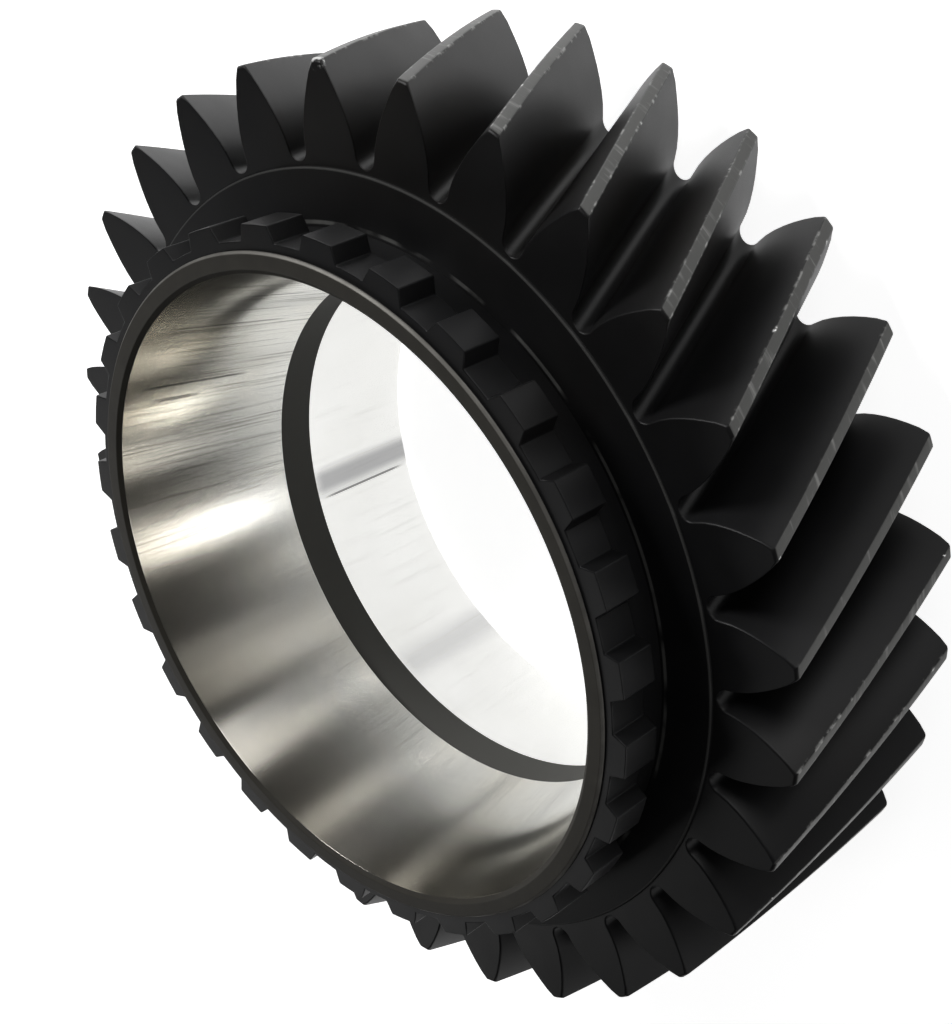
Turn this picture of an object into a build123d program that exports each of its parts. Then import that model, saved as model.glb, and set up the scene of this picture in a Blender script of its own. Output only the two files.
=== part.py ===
"""Helical transmission gear with a dog clutch ring on its front hub.

One forged and machined steel piece. The axis is Z and the gear lies on its rear
hub face, which is z = 0, so the dog clutch ring and the ground cone face up.
All lengths are millimetres and all angles are degrees.
"""

import os
from math import acos, cos, degrees, pi, radians, sin, sqrt, tan

from build123d import *

# ---------------------------------------------------------------- driving sizes
# Bore: a ground cylinder at the rear, a relief groove, then a ground cone
bore_diameter = 90.0
bore_length = 22.8
relief_width = 6.5
relief_depth = 1.2
cone_half_angle = 13.0
mouth_chamfer = 0.6
rear_mouth_chamfer = 1.0

# Front hub, outwards from the mouth of the cone
hub_wall = 3.2
hub_edge_chamfer = 0.4
lip_height = 0.65

# Dog clutch ring
dog_count = 28
dog_step = 1.3
dog_height = 2.45
dog_length = 6.8
dog_tip_width = 5.7
dog_flank_angle = 20.0

# Neck behind the dog ring and the web that leads out to the teeth
neck_length = 3.2
neck_relief = 0.9
web_width = 7.5
web_rise = 2.4
web_step = 0.5
rim_land = 0.7

# Helical teeth, left-hand
tooth_count = 29
face_width = 39.3
helix_angle = 24.6
normal_pressure_angle = 20.0
addendum = 7.05
dedendum = 7.1
tooth_share = 0.56  # share of the circular pitch that is tooth, at the pitch circle
tip_bevel = 0.4
tooth_clocking = -4.3  # centre of one tooth at its front end, from a dog on +X

# Rear hub and rear web
rear_hub_height = 6.0
rear_hub_wall = 11.0
rear_web_rise = 1.6
rear_hub_chamfer = 1.0

# ---------------------------------------------------------------- construction
flank_flats = 3
helix_steps = 3
cutter_overrun = 1.0
cutter_clearance = 2.5
foot_share = 0.25  # how far the flank foot stands above the root, per dedendum

# ---------------------------------------------------------------- derived radii
bore_radius = bore_diameter / 2
relief_radius = bore_radius + relief_depth

# Heights, from the rear hub face upwards
rear_face_height = rear_hub_height
front_face_height = rear_face_height + face_width
web_edge_height = front_face_height + web_step
web_foot_height = web_edge_height + web_rise
dog_rear_height = web_foot_height + neck_length
dog_front_height = dog_rear_height + dog_length
hub_front_height = dog_front_height + lip_height
relief_top_height = bore_length + relief_width
cone_length = hub_front_height - relief_top_height

# Radii, from the bore outwards
mouth_radius = bore_radius + cone_length * tan(radians(cone_half_angle))
hub_lip_radius = mouth_radius + hub_wall
dog_floor_radius = hub_lip_radius + dog_step
dog_tip_radius = dog_floor_radius + dog_height
neck_radius = dog_floor_radius - neck_relief
web_edge_radius = dog_floor_radius + web_width
root_radius = web_edge_radius + rim_land
pitch_radius = root_radius + dedendum
tip_radius = pitch_radius + addendum
rear_hub_radius = bore_radius + rear_hub_wall

# Tooth form in the plane of the gear
transverse_pressure_angle = degrees(
    acos(1 / sqrt(1 + (tan(radians(normal_pressure_angle)) / cos(radians(helix_angle))) ** 2))
)
base_radius = pitch_radius * cos(radians(transverse_pressure_angle))
foot_radius = max(base_radius, root_radius + foot_share * dedendum)
cutter_radius = tip_radius + cutter_clearance
twist_per_length = degrees(tan(radians(helix_angle)) / pitch_radius)


def involute_angle(radius):
    """Polar angle that an involute of the base circle has turned at a radius."""
    roll = acos(base_radius / radius)
    return degrees(tan(roll) - roll)


def gap_half_angle(radius):
    """Half of the tooth gap at a radius, seen from the gear axis."""
    gap_at_pitch = (1 - tooth_share) * 180 / tooth_count
    return gap_at_pitch - involute_angle(pitch_radius) + involute_angle(radius)


def polar_point(radius, angle):
    """A point in the plane of a gear section."""
    return (radius * cos(radians(angle)), radius * sin(radians(angle)))


def rings(part, radius, height):
    """The circular edges of a turned part at one radius and one height."""
    return part.edges().filter_by(
        lambda edge: edge.geom_type == GeomType.CIRCLE
        and abs(edge.radius - radius) < 0.001
        and abs(edge.center().Z - height) < 0.001
    )


# ---------------------------------------------------------------- turned blank
# Half section of the whole gear, bore and cone included, teeth still solid.
with BuildPart() as blank:
    with BuildSketch(Plane.XZ):
        with BuildLine():
            Polyline(
                (bore_radius, 0),
                (rear_hub_radius, 0),
                (rear_hub_radius, rear_face_height - rear_web_rise),
                (root_radius, rear_face_height),
                (tip_radius, rear_face_height),
                (tip_radius, front_face_height),
                (web_edge_radius, front_face_height),
                (web_edge_radius, web_edge_height),
                (neck_radius, web_foot_height),
                (neck_radius, dog_rear_height),
                (dog_floor_radius, dog_rear_height),
                (dog_floor_radius, dog_front_height),
                (hub_lip_radius, dog_front_height),
                (hub_lip_radius, hub_front_height),
                (mouth_radius, hub_front_height),
                (bore_radius, relief_top_height),
                (relief_radius, relief_top_height),
                (relief_radius, bore_length),
                (bore_radius, bore_length),
                close=True,
            )
        make_face()
    revolve(axis=Axis.Z)
    chamfer(rings(blank, tip_radius, rear_face_height), tip_bevel)
    chamfer(rings(blank, tip_radius, front_face_height), tip_bevel)
    chamfer(rings(blank, mouth_radius, hub_front_height), mouth_chamfer)
    chamfer(rings(blank, hub_lip_radius, hub_front_height), hub_edge_chamfer)
    chamfer(rings(blank, bore_radius, 0), rear_mouth_chamfer)
    chamfer(rings(blank, rear_hub_radius, 0), rear_hub_chamfer)

# ---------------------------------------------------------------- tooth gap
# One gap between two teeth, cut as a hob cuts it: a full round root, and flanks
# of narrow flats whose edges lie on the involute. Each section is turned a little
# further than the last, so that the loft follows the left-hand helix.
with BuildPart() as tooth_gap:
    for section in range(helix_steps + 1):
        run = face_width + 2 * cutter_overrun
        height = rear_face_height - cutter_overrun + run * section / helix_steps
        turn = tooth_clocking + 180 / tooth_count
        turn += twist_per_length * (front_face_height - height)
        flank_radii = [
            foot_radius + (cutter_radius - foot_radius) * step / flank_flats
            for step in range(flank_flats + 1)
        ]
        right_flank = [polar_point(radius, -gap_half_angle(radius)) for radius in flank_radii]
        left_flank = [polar_point(radius, gap_half_angle(radius)) for radius in flank_radii]
        with BuildSketch(Plane.XY.offset(height).rotated((0, 0, turn))):
            with BuildLine():
                Polyline(*right_flank)
                ThreePointArc(right_flank[0], (root_radius, 0), left_flank[0])
                Polyline(*left_flank)
                Line(left_flank[-1], right_flank[-1])
            make_face()
    loft(ruled=True)

# ---------------------------------------------------------------- dog clutch teeth
# Straight-sided blocks standing on the floor cylinder, their tips round the axis.
with BuildPart() as dog_ring:
    tip_half = dog_tip_width / 2
    sunk = dog_step / 2
    flare = tan(radians(dog_flank_angle))
    foot_half = tip_half + (dog_height + sunk) * flare
    with BuildSketch(Plane.XY.offset(dog_rear_height)):
        with PolarLocations(0, dog_count):
            Polygon(
                (dog_floor_radius - sunk, -foot_half),
                (dog_tip_radius, -tip_half),
                (dog_tip_radius, tip_half),
                (dog_floor_radius - sunk, foot_half),
                align=None,
            )
    extrude(amount=dog_length)

# ---------------------------------------------------------------- the gear
with BuildPart() as helical_gear:
    add(blank.part)
    with PolarLocations(0, tooth_count):
        add(tooth_gap.part, mode=Mode.SUBTRACT)
    add(dog_ring.part)

helical_gear.part.label = "helical_gear"

os.makedirs("parts", exist_ok=True)
export_step(helical_gear.part, "parts/helical_gear.step")
print("circular pitch", round(2 * pi * pitch_radius / tooth_count, 3))
print("normal module", round(2 * pitch_radius * cos(radians(helix_angle)) / tooth_count, 3))
print("tip radius", round(tip_radius, 3), "overall length", round(hub_front_height, 3))
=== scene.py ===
"""Looks of a helical transmission gear with a dog clutch ring.

Metres, with the bore axis on Z and the rear hub face on the floor at z = 0.
"""

import math

import bmesh
import bpy
from mathutils import Matrix, Vector


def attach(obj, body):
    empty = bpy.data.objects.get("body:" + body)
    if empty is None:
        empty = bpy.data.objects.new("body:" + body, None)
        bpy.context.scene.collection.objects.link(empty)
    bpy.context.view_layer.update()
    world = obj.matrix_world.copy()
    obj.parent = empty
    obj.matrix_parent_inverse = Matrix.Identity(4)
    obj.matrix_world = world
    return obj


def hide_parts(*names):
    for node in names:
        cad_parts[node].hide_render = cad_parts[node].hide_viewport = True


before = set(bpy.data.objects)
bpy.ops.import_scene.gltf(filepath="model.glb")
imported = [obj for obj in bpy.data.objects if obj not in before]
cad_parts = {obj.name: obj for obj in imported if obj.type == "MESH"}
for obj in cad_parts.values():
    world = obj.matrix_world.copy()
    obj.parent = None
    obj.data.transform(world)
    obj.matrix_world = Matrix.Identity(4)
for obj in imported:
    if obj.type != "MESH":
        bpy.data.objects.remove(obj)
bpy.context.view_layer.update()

# ------------------------------------------------------------------ studio
# A plain pale floor that the gear lies on, soft lamps round it and one camera
# that looks down into the cone of the bore.

MM = 0.001


class Socket:
    """A shader socket that takes part in ordinary arithmetic."""

    def __init__(self, finish, link):
        self.finish = finish
        self.link = link

    def calc(self, operation, *values):
        return self.finish.node("ShaderNodeMath", {"operation": operation}, *values)

    def __add__(self, other):
        return self.calc("ADD", self, other)

    def __radd__(self, other):
        return self.calc("ADD", other, self)

    def __sub__(self, other):
        return self.calc("SUBTRACT", self, other)

    def __rsub__(self, other):
        return self.calc("SUBTRACT", other, self)

    def __mul__(self, other):
        return self.calc("MULTIPLY", self, other)

    def __rmul__(self, other):
        return self.calc("MULTIPLY", other, self)

    def __truediv__(self, other):
        return self.calc("DIVIDE", self, other)

    def size(self):
        return self.calc("ABSOLUTE", self)

    def root(self):
        return self.calc("SQRT", self)

    def nearest_whole(self):
        return self.calc("ROUND", self)

    def clamped(self):
        return self.calc("MINIMUM", self.calc("MAXIMUM", self, 0.0), 1.0)

    def ramp(self, low, high):
        """0 at the low value, 1 at the high one, smooth between."""
        return self.finish.node(
            "ShaderNodeMapRange", {"interpolation_type": "SMOOTHSTEP"}, self, low, high, 0.0, 1.0
        )


class Finish:
    """A material and its node tree."""

    def __init__(self, name):
        self.material = bpy.data.materials.new(name)
        self.material.use_nodes = True
        self.nodes = self.material.node_tree.nodes
        self.shader = self.nodes["Principled BSDF"]

    def put(self, value, target):
        if isinstance(value, Socket):
            self.material.node_tree.links.new(value.link, target)
        elif target.type == "RGBA":
            target.default_value = (*value, 1.0)
        else:
            target.default_value = value

    def node(self, kind, settings, *values, out=0, **named):
        """A node of one type: its settings first, then its inputs in order or by name."""
        made = self.nodes.new(kind)
        for key, setting in settings.items():
            setattr(made, key, setting)
        open_inputs = [slot for slot in made.inputs if slot.enabled]
        for slot, value in zip(open_inputs, values):
            self.put(value, slot)
        for slot in open_inputs:
            if slot.name in named:
                self.put(named[slot.name], slot)
        return Socket(self, [slot for slot in made.outputs if slot.enabled][out])

    def place(self):
        """Where on the object a point lies, in metres."""
        return self.node("ShaderNodeTexCoord", {}, out=3)

    def split(self, vector):
        """The three numbers of a vector."""
        return [self.node("ShaderNodeSeparateXYZ", {}, vector, out=part) for part in range(3)]

    def blend(self, share, first, second):
        """A colour between two colours."""
        return self.node(
            "ShaderNodeMix", {"data_type": "RGBA", "clamp_factor": True}, share, first, second
        )

    def noise(self, place, scale, detail, stretch=(1.0, 1.0, 1.0)):
        """Cloudy noise from 0 to 1, its grain longer where the stretch is small."""
        pulled = self.node("ShaderNodeMapping", {}, place, Scale=stretch)
        return self.node("ShaderNodeTexNoise", {}, Vector=pulled, Scale=scale, Detail=detail)

    def bump(self, height, strength, distance):
        return self.node("ShaderNodeBump", {}, Strength=strength, Distance=distance, Height=height)

    def set(self, **sockets):
        for key, value in sockets.items():
            self.put(value, self.shader.inputs[key.replace("_", " ")])


floor_half_width = 3.0
floor_grey = 0.80
floor_glow = 0.88
room_glow = 0.05
lamp_size = 0.28
lamp_distance = 0.8
gear_middle = (0, 0, 0.03)

floor_mesh = bmesh.new()
bmesh.ops.create_grid(floor_mesh, x_segments=1, y_segments=1, size=floor_half_width)
floor_data = bpy.data.meshes.new("floor")
floor_mesh.to_mesh(floor_data)
floor_mesh.free()
floor = bpy.data.objects.new("floor", floor_data)
bpy.context.scene.collection.objects.link(floor)

floor_finish = Finish("floor_paper")
floor_finish.set(Base_Color=(floor_grey, floor_grey, floor_grey), Roughness=0.9)
# the camera, glossy and transmission rays see the paper glow, the others see it lit
direct_look = floor_finish.node("ShaderNodeLightPath", {}, out=0)
glossy_look = floor_finish.node("ShaderNodeLightPath", {}, out=3)
look_through = floor_finish.node("ShaderNodeLightPath", {}, out=6)
looked_at = (direct_look + glossy_look + look_through).clamped()
glow = floor_finish.node("ShaderNodeEmission", {}, (1.0, 1.0, 1.0), looked_at * floor_glow)
paper = Socket(floor_finish, floor_finish.shader.outputs[0])
lit_paper = floor_finish.node("ShaderNodeAddShader", {}, paper, glow)
floor_finish.put(lit_paper, floor_finish.nodes["Material Output"].inputs[0])
floor_data.materials.append(floor_finish.material)

world = bpy.data.worlds.new("studio")
world.use_nodes = True
world.node_tree.nodes["Background"].inputs[0].default_value = (1.0, 1.0, 1.0, 1.0)
world.node_tree.nodes["Background"].inputs[1].default_value = room_glow
bpy.context.scene.world = world


def soft_lamp(name, bearing, elevation, power):
    """A square softbox that points at the middle of the gear; angles in degrees."""
    lamp = bpy.data.lights.new(name, "AREA")
    lamp.size = lamp_size
    lamp.energy = power
    holder = bpy.data.objects.new(name, lamp)
    turn = Matrix.Rotation(math.radians(bearing), 4, "Z")
    turn @= Matrix.Rotation(math.radians(90.0 - elevation), 4, "Y")
    reach = Matrix.Translation((0, 0, lamp_distance))
    holder.matrix_world = Matrix.Translation(gear_middle) @ turn @ reach
    bpy.context.scene.collection.objects.link(holder)


soft_lamp("key_lamp", 0.0, 34.0, 4.2)
soft_lamp("side_lamp", 100.0, 34.0, 0.5)
soft_lamp("low_lamp", 80.0, 14.0, 0.4)
soft_lamp("near_lamp", 300.0, 14.0, 1.3)
soft_lamp("far_lamp", 220.0, 14.0, 0.5)

camera_place = Vector((0.006245, -0.238790, 0.217510))
camera_right = Vector((-0.438795, -0.632927, -0.637858))
camera_up = Vector((0.886261, -0.187655, -0.423471))
camera_back = Vector((0.148329, -0.751125, 0.643280))
camera_data = bpy.data.cameras.new("camera")
camera_data.sensor_fit = "AUTO"
camera_data.sensor_width = 36.0
camera_data.lens = 64.19
camera_data.shift_x = -0.1576
camera_data.shift_y = 0.1988
camera_data.clip_start = 0.01
camera = bpy.data.objects.new("camera", camera_data)
camera.matrix_world = Matrix.Translation(camera_place) @ Matrix(
    (camera_right, camera_up, camera_back)
).transposed().to_4x4()
bpy.context.scene.collection.objects.link(camera)
bpy.context.scene.camera = camera
bpy.context.scene.view_settings.view_transform = "Standard"

# ------------------------------------------------------------------ toothed rim
# The forged steel rim, black phosphated, with hobbed left-hand helical teeth and a
# nearly flat web that leads in to the hub. One tooth pitch is swept along the
# helix and repeated round the axis, and its hard edges are rubbed round.

tooth_count = 29
pitch_angle = 2 * math.pi / tooth_count
pitch_radius = 71.622 * MM
tip_radius = 78.672 * MM
root_radius = 64.522 * MM
tooth_share = 0.56
helix_angle = math.radians(24.6)
pressure_angle = math.atan(math.tan(math.radians(20.0)) / math.cos(helix_angle))
base_radius = pitch_radius * math.cos(pressure_angle)
tooth_clocking = math.radians(-4.3)
rear_face = 6.0 * MM
front_face = 45.3 * MM
tip_bevel = 0.4 * MM
edge_rounding = 0.2 * MM
twist_rate = math.tan(helix_angle) / pitch_radius
arc_steps = 12  # along the inner arc of one pitch
root_steps = 7  # from the middle of the gap to the foot of the flank
flank_steps = 7  # from the foot of the flank to the tip
sweep_steps = 20  # along the helix
rim_bore = 54.0 * MM
web_step = 0.5 * MM
web_foot = 46.4 * MM
web_edge = 63.822 * MM
rear_web_edge = 64.2 * MM
rear_web_rise = 1.95 * MM
merge_gap = 0.002 * MM


def involute(radius):
    roll = math.acos(base_radius / radius)
    return math.tan(roll) - roll


def tooth_half_angle(radius):
    """Half a tooth, seen from the axis, at a radius."""
    return tooth_share * pitch_angle / 2 + involute(pitch_radius) - involute(radius)


def polar(radius, angle, height):
    return Vector((radius * math.cos(angle), radius * math.sin(angle), height))


def mean_radius(verts):
    return sum(vert.co.xy.length for vert in verts) / len(verts)


def pushed_out(mesh, edges, shift=(0, 0, 0), turn=0.0, radial=None):
    """Extrudes a chain of edges and moves the new chain; gives back its edges."""
    grown = bmesh.ops.extrude_edge_only(mesh, edges=edges)["geom"]
    fresh = [part for part in grown if isinstance(part, bmesh.types.BMVert)]
    if radial:
        size = radial / mean_radius(fresh)
        bmesh.ops.scale(mesh, verts=fresh, vec=(size, size, 1.0))
    bmesh.ops.translate(mesh, verts=fresh, vec=shift)
    if turn:
        bmesh.ops.rotate(
            mesh, verts=fresh, cent=(0, 0, 0), matrix=Matrix.Rotation(turn, 3, "Z")
        )
    chain = []
    for part in grown:
        if isinstance(part, bmesh.types.BMEdge) and all(vert in fresh for vert in part.verts):
            chain.append(part)
    return chain


def chain_verts(edges):
    """Each point of a chain once, in the order of its edges."""
    return list(dict.fromkeys(vert for edge in edges for vert in edge.verts))


def loose_edges(mesh, radius):
    """The edges without faces that lie inside a radius."""
    return [
        edge
        for edge in mesh.edges
        if not edge.link_faces and all(vert.co.xy.length < radius for vert in edge.verts)
    ]


rim_mesh = bmesh.new()

# half of one tooth outline, from the middle of the gap to the middle of the tip
gap_foot = pitch_angle / 2 - tooth_half_angle(base_radius)
foot_across = base_radius * math.sin(gap_foot)
foot_up = base_radius * math.cos(gap_foot)
half_outline = []
for step in range(root_steps):
    sweep = math.pi / 2 * step / root_steps
    across = foot_across * math.sin(sweep)
    up = foot_up - (foot_up - root_radius) * math.cos(sweep)
    bearing = math.atan2(across, up) - pitch_angle / 2
    half_outline.append(polar(math.hypot(across, up), bearing, rear_face))
for step in range(flank_steps + 1):
    radius = base_radius + (tip_radius - base_radius) * step / flank_steps
    half_outline.append(polar(radius, -tooth_half_angle(radius), rear_face))
half_outline.append(polar(tip_radius, 0.0, rear_face))
corners = [rim_mesh.verts.new(point) for point in half_outline]
for start, end in zip(corners, corners[1:]):
    rim_mesh.edges.new((start, end))
bmesh.ops.mirror(rim_mesh, geom=rim_mesh.verts[:] + rim_mesh.edges[:], axis="Y", merge_dist=1e-7)
rear_turn = tooth_clocking + twist_rate * (front_face - rear_face)
bmesh.ops.rotate(
    rim_mesh, verts=rim_mesh.verts[:], cent=(0, 0, 0), matrix=Matrix.Rotation(rear_turn, 3, "Z")
)
rear_outline = rim_mesh.edges[:]

# the sweep along the helix, with a short step at each end for the tip bevel
even_rise = (front_face - rear_face - 2 * tip_bevel) / sweep_steps
rises = [tip_bevel, *[even_rise] * sweep_steps, tip_bevel]
front_outline = rear_outline
for rise in rises:
    front_outline = pushed_out(
        rim_mesh, front_outline, shift=(0, 0, rise), turn=-twist_rate * rise
    )
for vert in chain_verts(rear_outline + front_outline):
    if vert.co.xy.length > tip_radius - tip_bevel:
        vert.co.xy *= (tip_radius - tip_bevel) / vert.co.xy.length

# the web and the hidden inner wall, from the rear face round to the front face
rear_edge = rim_mesh.verts.new(polar(rear_web_edge, rear_turn - pitch_angle / 2, rear_face))
bmesh.ops.spin(
    rim_mesh,
    geom=[rear_edge],
    cent=(0, 0, 0),
    axis=(0, 0, 1),
    dvec=(0, 0, 0),
    angle=pitch_angle,
    steps=arc_steps,
)
rear_arc = loose_edges(rim_mesh, root_radius - 0.1 * MM)
chain = pushed_out(rim_mesh, rear_arc, shift=(0, 0, -rear_web_rise), radial=rim_bore)
rise = web_foot - (rear_face - rear_web_rise)
chain = pushed_out(
    rim_mesh, chain, shift=(0, 0, rise), turn=-twist_rate * (front_face - rear_face)
)
chain = pushed_out(
    rim_mesh, chain, shift=(0, 0, front_face + web_step - web_foot), radial=web_edge
)
front_arc = pushed_out(rim_mesh, chain, shift=(0, 0, -web_step))


def open_ends(chain):
    """The two end points of a chain of edges."""
    return [
        vert for vert in chain_verts(chain) if sum(edge in chain for edge in vert.link_edges) == 1
    ]


def close_ends(mesh, pairs):
    """Closes each end face between an outline and the arc inside it."""
    for outline, arc in pairs:
        arc_ends = open_ends(arc)
        sides = []
        for end in open_ends(outline):
            near = min(arc_ends, key=lambda vert: (vert.co - end.co).length)
            sides.append(mesh.edges.new((end, near)))
        bmesh.ops.contextual_create(mesh, geom=list(outline) + list(arc) + sides)


def repeat_round(mesh, count, pitch):
    """Repeats one pitch round the axis and joins it into a closed ring."""
    bmesh.ops.spin(
        mesh,
        geom=mesh.verts[:] + mesh.edges[:] + mesh.faces[:],
        cent=(0, 0, 0),
        axis=(0, 0, 1),
        dvec=(0, 0, 0),
        angle=2 * math.pi - pitch,
        steps=count - 1,
        use_duplicate=True,
    )
    bmesh.ops.remove_doubles(mesh, verts=mesh.verts[:], dist=merge_gap)
    bmesh.ops.recalc_face_normals(mesh, faces=mesh.faces[:])


close_ends(rim_mesh, ((rear_outline, rear_arc), (front_outline, front_arc)))
repeat_round(rim_mesh, tooth_count, pitch_angle)


def put_in_order(mesh):
    """Sorts edges and faces by their points, because extrude and spin leave them in any order."""
    mesh.verts.index_update()
    count = len(mesh.verts)

    def place_in_line(part):
        lowest = sorted(vert.index for vert in part.verts)[:3]
        return sum(index * count**power for power, index in zip((2, 1, 0), lowest))

    mesh.edges.sort(key=place_in_line)
    mesh.faces.sort(key=place_in_line)


def hard_edges(mesh, angle, inside):
    """Edges with a fold over an angle whose ends all lie where inside() says."""
    found = []
    for edge in mesh.edges:
        if len(edge.link_faces) == 2 and edge.calc_face_angle() > math.radians(angle):
            if all(inside(vert.co) for vert in edge.verts):
                found.append(edge)
    return found


def round_edges(mesh, edges, size):
    bmesh.ops.bevel(
        mesh,
        geom=edges,
        offset=size,
        offset_type="OFFSET",
        affect="EDGES",
        segments=2,
        profile=0.5,
        material=-1,
        clamp_overlap=True,
    )


put_in_order(rim_mesh)
round_edges(
    rim_mesh,
    hard_edges(rim_mesh, 28, lambda spot: spot.xy.length > 60 * MM),
    edge_rounding,
)


sharp_fold = math.radians(40.0)


def finished_piece(name, mesh, materials):
    """Turns a bmesh into a piece in the scene, with soft corner normals."""
    data = bpy.data.meshes.new(name)
    put_in_order(mesh)
    for face in mesh.faces:
        face.smooth = True
    for edge in mesh.edges:
        edge.smooth = edge.calc_face_angle(0.0) < sharp_fold
    mesh.to_mesh(data)
    mesh.free()
    for material in materials:
        data.materials.append(material)
    piece = bpy.data.objects.new(name, data)
    bpy.context.scene.collection.objects.link(piece)
    weighted = piece.modifiers.new("even_normals", "WEIGHTED_NORMAL")
    weighted.keep_sharp = True
    return piece


# black phosphate: bare streaks on the tooth tips, rubbed and chipped tip edges, and
# a painted highlight, a thin lighter line, on the step of the web and at the foot of the neck
black_steel = Finish("black_steel")
spot = black_steel.place()
x, y, z = black_steel.split(spot)
radius = (x * x + y * y).root()
angle = x.calc("ARCTAN2", y, x)
pitches = (angle - tooth_clocking - (front_face - z) * twist_rate) / pitch_angle
from_middle = (pitches - pitches.nearest_whole()).size()
land_half = tooth_half_angle(tip_radius) / pitch_angle
neck_foot = 56.1 * MM
step_line = 63.75 * MM
land = radius.ramp(tip_radius - 0.12 * MM, tip_radius - 0.05 * MM)
tip_edge = radius.ramp(tip_radius - 0.5 * MM, tip_radius - 0.1 * MM)
tip_edge *= (from_middle - land_half).size().ramp(0.020, 0.004)
grain = black_steel.noise(spot, 9000.0, 3.0)
cloud = black_steel.noise(spot, 120.0, 3.0)
drift = black_steel.noise(spot, 14.0, 2.0)
chips = black_steel.noise(spot, 700.0, 4.0)
turned = black_steel.noise(spot, 900.0, 3.0, stretch=(0.12, 0.12, 1.0))
rubbed = tip_edge * chips.ramp(0.50, 0.66) * drift.ramp(0.40, 0.62)
chipped = tip_edge * chips.ramp(0.64, 0.70) * cloud.ramp(0.56, 0.64)
black = black_steel.blend(cloud, (0.0050, 0.0050, 0.0054), (0.0090, 0.0090, 0.0095))
black = black_steel.blend(drift.ramp(0.5, 0.8) * 0.7, black, (0.011, 0.009, 0.0065))
black = black_steel.blend(land * 0.9, black, (0.080, 0.080, 0.077))
black = black_steel.blend(land * turned.ramp(0.55, 0.75) * 0.5, black, (0.30, 0.30, 0.29))
knocked_tooth = 27
knocked_tip = polar(
    tip_radius - 0.3 * MM, tooth_clocking + knocked_tooth * pitch_angle, front_face - 0.3 * MM
)
off_knock = black_steel.node(
    "ShaderNodeVectorMath", {"operation": "DISTANCE"}, spot, tuple(knocked_tip)
)
knocked = off_knock.ramp(1.6 * MM, 0.8 * MM) * chips.ramp(0.46, 0.60) * 0.7
chipped = (chipped + knocked).clamped()
black = black_steel.blend(rubbed * 0.6, black, (0.34, 0.34, 0.33))
black = black_steel.blend(chipped, black, (0.80, 0.80, 0.79))
# painted highlight: a thin lighter line of base colour on the step of the web
painted_step_highlight = (radius - step_line).size().ramp(0.26 * MM, 0.12 * MM)
painted_step_highlight *= z.ramp(front_face + 0.1 * MM, front_face + 0.4 * MM)
# painted highlight: a thin lighter line of base colour at the foot of the neck
painted_foot_highlight = (radius - neck_foot).size().ramp(0.40 * MM, 0.15 * MM)
painted_foot_highlight *= z.ramp(46.9 * MM, 46.6 * MM) * z.ramp(45.7 * MM, 45.9 * MM) * cloud.ramp(0.40, 0.60)
black = black_steel.blend(painted_step_highlight * 0.8, black, (0.060, 0.060, 0.058))
black = black_steel.blend(painted_foot_highlight * 0.8, black, (0.11, 0.11, 0.105))
black_steel.set(
    Base_Color=black,
    Roughness=0.30 + grain * 0.12 + cloud * 0.10,
    Metallic=(land * 0.5 + rubbed + chipped).clamped(),
    Specular_IOR_Level=0.18,
    Normal=black_steel.bump(grain, 0.12, 0.05 * MM),
)

rim = finished_piece("toothed_rim", rim_mesh, [black_steel.material])
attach(rim, "root")
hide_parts("helical_gear")

# ------------------------------------------------------------------ hub sleeve
# The hub of the same forging, turned, then blacked outside and ground inside: the
# friction cone at the front, a relief groove and the bearing land at the rear. One
# half section, its corners rubbed round, is spun about the axis.

hub_steps = 336
hub_rounding = 0.1 * MM
groove_rear = 22.8
groove_front = 29.3
lip_base = 58.2 * MM
# radius and height of each corner, in millimetres, from the rear mouth outwards
hub_section = (
    (46.0, 0.0),
    (55.0, 0.0),
    (56.0, 1.0),
    (56.0, 5.4),
    (55.422, 5.4),
    (55.422, 45.6),
    (56.2, 46.2),
    (55.422, 47.0),
    (55.422, 57.0),
    (55.022, 57.0),
    (55.022, 58.45),
    (54.622, 58.85),
    (52.422, 58.85),
    (51.683, 58.25),
    (45.0, groove_front),
    (46.2, groove_front),
    (46.2, groove_rear),
    (45.0, groove_rear),
    (45.0, 1.0),
)
hub_mesh = bmesh.new()
section = [hub_mesh.verts.new((across * MM, 0.0, up * MM)) for across, up in hub_section]
bmesh.ops.contextual_create(hub_mesh, geom=section)
bmesh.ops.bevel(
    hub_mesh,
    geom=section,
    offset=hub_rounding,
    offset_type="OFFSET",
    affect="VERTICES",
    segments=2,
    profile=0.5,
    material=-1,
    clamp_overlap=True,
)
bmesh.ops.delete(hub_mesh, geom=hub_mesh.faces[:], context="FACES_ONLY")
bmesh.ops.spin(
    hub_mesh,
    geom=hub_mesh.verts[:] + hub_mesh.edges[:],
    cent=(0, 0, 0),
    axis=(0, 0, 1),
    dvec=(0, 0, 0),
    angle=2 * math.pi,
    steps=hub_steps,
    use_merge=True,
)
bmesh.ops.recalc_face_normals(hub_mesh, faces=hub_mesh.faces[:])
black_slot, cone_slot, land_slot, turned_slot = range(4)
for face in hub_mesh.faces:
    middle = face.calc_center_median()
    inside = face.normal.xy.dot(middle.xy) < 0
    in_groove = (groove_rear - 0.05) * MM < middle.z < (groove_front + 0.05) * MM
    if middle.z > lip_base or (inside and in_groove):
        face.material_index = turned_slot
    elif inside and middle.z > groove_front * MM:
        face.material_index = cone_slot
    elif inside:
        face.material_index = land_slot
    else:
        face.material_index = black_slot


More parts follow.
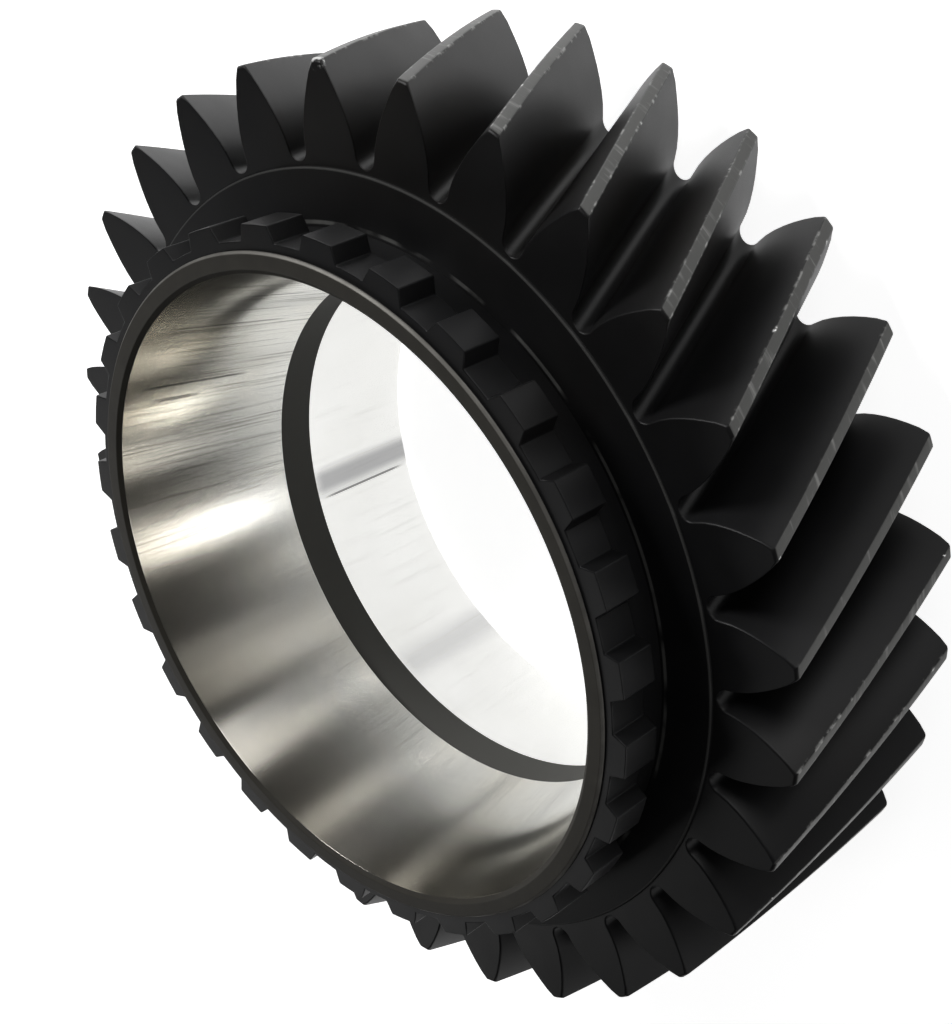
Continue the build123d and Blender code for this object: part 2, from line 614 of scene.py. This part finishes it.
class GroundSteel(Finish):
    """Ground steel: blurred along the axis only, as fine rings from the wheel make it."""

    def __init__(self, name, plain, warm, gloss):
        super().__init__(name)
        spot = self.place()
        self.x, self.y, self.z = self.split(spot)
        radius = (self.x * self.x + self.y * self.y).root()
        rings = self.noise(spot, 9000.0, 2.0, stretch=(0.03, 0.03, 1.0))
        around = self.node(
            "ShaderNodeCombineXYZ", {}, self.x / radius, self.y / radius, self.z * 0.5
        )
        self.streaks = self.noise(around, 110.0, 2.0)
        patches = self.noise(spot, 45.0, 3.0)
        self.tone = self.blend(patches.ramp(0.35, 0.7), plain, warm)
        self.set(
            Roughness=gloss + patches * 0.08,
            Metallic=1.0,
            Anisotropic=0.85,
            Anisotropic_Rotation=0.25,
            Normal=self.bump(rings, 0.05, 0.02 * MM),
        )

    def tint(self, share, colour):
        """Lays a colour over the tone so far."""
        self.tone = self.blend(share, self.tone, colour)

    def stroke(self, bearing, low, high, half_width, soft):
        """A mark along the axis at one bearing in degrees; its sizes in millimetres."""
        aim = math.radians(bearing)
        off = (self.x * math.sin(aim) - self.y * math.cos(aim)).size()
        this_side = (self.x * math.cos(aim) + self.y * math.sin(aim)).ramp(20 * MM, 30 * MM)
        fade = 4
        ends = self.z.ramp(low * MM, (low + fade) * MM) * self.z.ramp(high * MM, (high - fade) * MM)
        return off.ramp(half_width * MM, (half_width - soft) * MM) * ends * this_side


# the cone: warmer and darker towards its mouth, scored along the axis, its streak marks denser and
# darker towards one side
cone_steel = GroundSteel("ground_cone", (0.82, 0.82, 0.80), (0.80, 0.78, 0.73), 0.15)
cone_steel.tint(cone_steel.z.ramp(30 * MM, 60 * MM) * 0.85, (0.40, 0.38, 0.335))
streaked_bearing = 0.35
streaked_side = cone_steel.x * math.cos(streaked_bearing) + cone_steel.y * math.sin(streaked_bearing)
streaked_side = streaked_side.ramp(24 * MM, 48 * MM)
marks = cone_steel.streaks.ramp(0.48, 0.75) * (0.12 + streaked_side * 0.55)
cone_steel.tint(marks, (0.20, 0.185, 0.16))
for bearing, low, high, half_width in (
    (29.5, 36, 56, 0.35),
    (13.0, 33, 56, 0.25),
    (2.0, 33, 47, 0.30),
    (33.0, 44, 55, 0.50),
    (-4.0, 36, 57, 0.25),
):
    score = cone_steel.stroke(bearing, low, high, half_width, 0.25)
    cone_steel.tint(score * 0.8, (0.09, 0.08, 0.075))
cone_steel.set(Base_Color=cone_steel.tone)

# the bearing land: bright, with one grey smear beside a scored line and a faint haze
land_steel = GroundSteel("ground_land", (0.92, 0.92, 0.90), (0.88, 0.88, 0.855), 0.16)
land_steel.tint(land_steel.streaks.ramp(0.50, 0.80) * 0.22, (0.45, 0.45, 0.43))
smear = land_steel.stroke(64.5, -3, 24, 3.4, 2.6)
land_steel.tint(smear * 0.75, (0.28, 0.28, 0.29))
haze = land_steel.stroke(112.0, -3, 24, 5.0, 4.5)
land_steel.tint(haze * 0.45, (0.45, 0.45, 0.46))
line = land_steel.stroke(68.2, 1, 22, 0.30, 0.2)
land_steel.tint(line * 0.8, (0.08, 0.08, 0.08))
land_steel.set(Base_Color=land_steel.tone)

# the lip and the relief groove: turned and left dull, the lip's outer edge rubbed bare and painted
# lighter all round as a highlight
turned_steel = Finish("turned_steel")
spot = turned_steel.place()
x, y, z = turned_steel.split(spot)
radius = (x * x + y * y).root()
cloud = turned_steel.noise(spot, 300.0, 4.0)
rings = turned_steel.noise(spot, 5000.0, 2.0)
rubbed_and_highlit_edge = radius.ramp(54.55 * MM, 54.75 * MM)
tone = turned_steel.blend(cloud, (0.024, 0.022, 0.018), (0.040, 0.037, 0.030))
groove_depth = radius.ramp(51 * MM, 49 * MM)
tone = turned_steel.blend(groove_depth, tone, (0.085, 0.084, 0.078))
# the lip's outer edge: partly rubbed bare steel, partly a painted highlight that is lighter all
# round
tone = turned_steel.blend(rubbed_and_highlit_edge * (0.2 + cloud * 0.5), tone, (0.30, 0.29, 0.27))
turned_steel.set(
    Base_Color=tone,
    Roughness=0.50 + rings * 0.1,
    Metallic=rubbed_and_highlit_edge * 0.6,
    Specular_IOR_Level=0.2,
    Normal=turned_steel.bump(rings, 0.08, 0.03 * MM),
)
hub_finishes = (black_steel, cone_steel, land_steel, turned_steel)
hub = finished_piece("hub_sleeve", hub_mesh, [finish.material for finish in hub_finishes])
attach(hub, "root")

# ------------------------------------------------------------------ dog ring
# The clutch ring round the front of the hub, milled from the same forging and
# blacked with it: short straight blocks with slanted sides. One pitch is drawn,
# raised and repeated round the axis.

dog_count = 28
dog_pitch = 2 * math.pi / dog_count
dog_floor = 56.322 * MM
dog_tip = 58.772 * MM
dog_tip_half = 2.85 * MM
dog_flank = math.radians(20.0)
dog_rear = 51.4 * MM
dog_front = 58.2 * MM
dog_inner = 54.4 * MM
dog_rounding = 0.22 * MM

dog_mesh = bmesh.new()
dog_foot_half = dog_tip_half + (dog_tip - dog_floor) * math.tan(dog_flank)
foot_angle = math.atan2(dog_foot_half, dog_floor)
tip_angle = math.atan2(dog_tip_half, dog_tip)
half_pitch = [(dog_floor, dog_pitch / 2), (dog_floor, (dog_pitch / 2 + foot_angle) / 2)]
half_pitch += [(dog_floor, foot_angle), (dog_tip, tip_angle), (dog_tip, 0.0)]
corners = [dog_mesh.verts.new(polar(radius, -angle, dog_rear)) for radius, angle in half_pitch]
for start, end in zip(corners, corners[1:]):
    dog_mesh.edges.new((start, end))
bmesh.ops.mirror(dog_mesh, geom=dog_mesh.verts[:] + dog_mesh.edges[:], axis="Y", merge_dist=1e-7)
rear_outline = dog_mesh.edges[:]
front_outline = pushed_out(dog_mesh, rear_outline, shift=(0, 0, dog_front - dog_rear))
inner = dog_mesh.verts.new(polar(dog_inner, -dog_pitch / 2, dog_rear))
bmesh.ops.spin(
    dog_mesh,
    geom=[inner],
    cent=(0, 0, 0),
    axis=(0, 0, 1),
    dvec=(0, 0, 0),
    angle=dog_pitch,
    steps=arc_steps,
)
rear_arc = loose_edges(dog_mesh, dog_inner + MM)
front_arc = pushed_out(dog_mesh, rear_arc, shift=(0, 0, dog_front - dog_rear))
close_ends(dog_mesh, ((rear_outline, rear_arc), (front_outline, front_arc)))
repeat_round(dog_mesh, dog_count, dog_pitch)
put_in_order(dog_mesh)
round_edges(
    dog_mesh,
    hard_edges(dog_mesh, 15, lambda spot: spot.xy.length > 55.5 * MM),
    dog_rounding,
)
dogs = finished_piece("dog_ring", dog_mesh, [black_steel.material])
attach(dogs, "root")
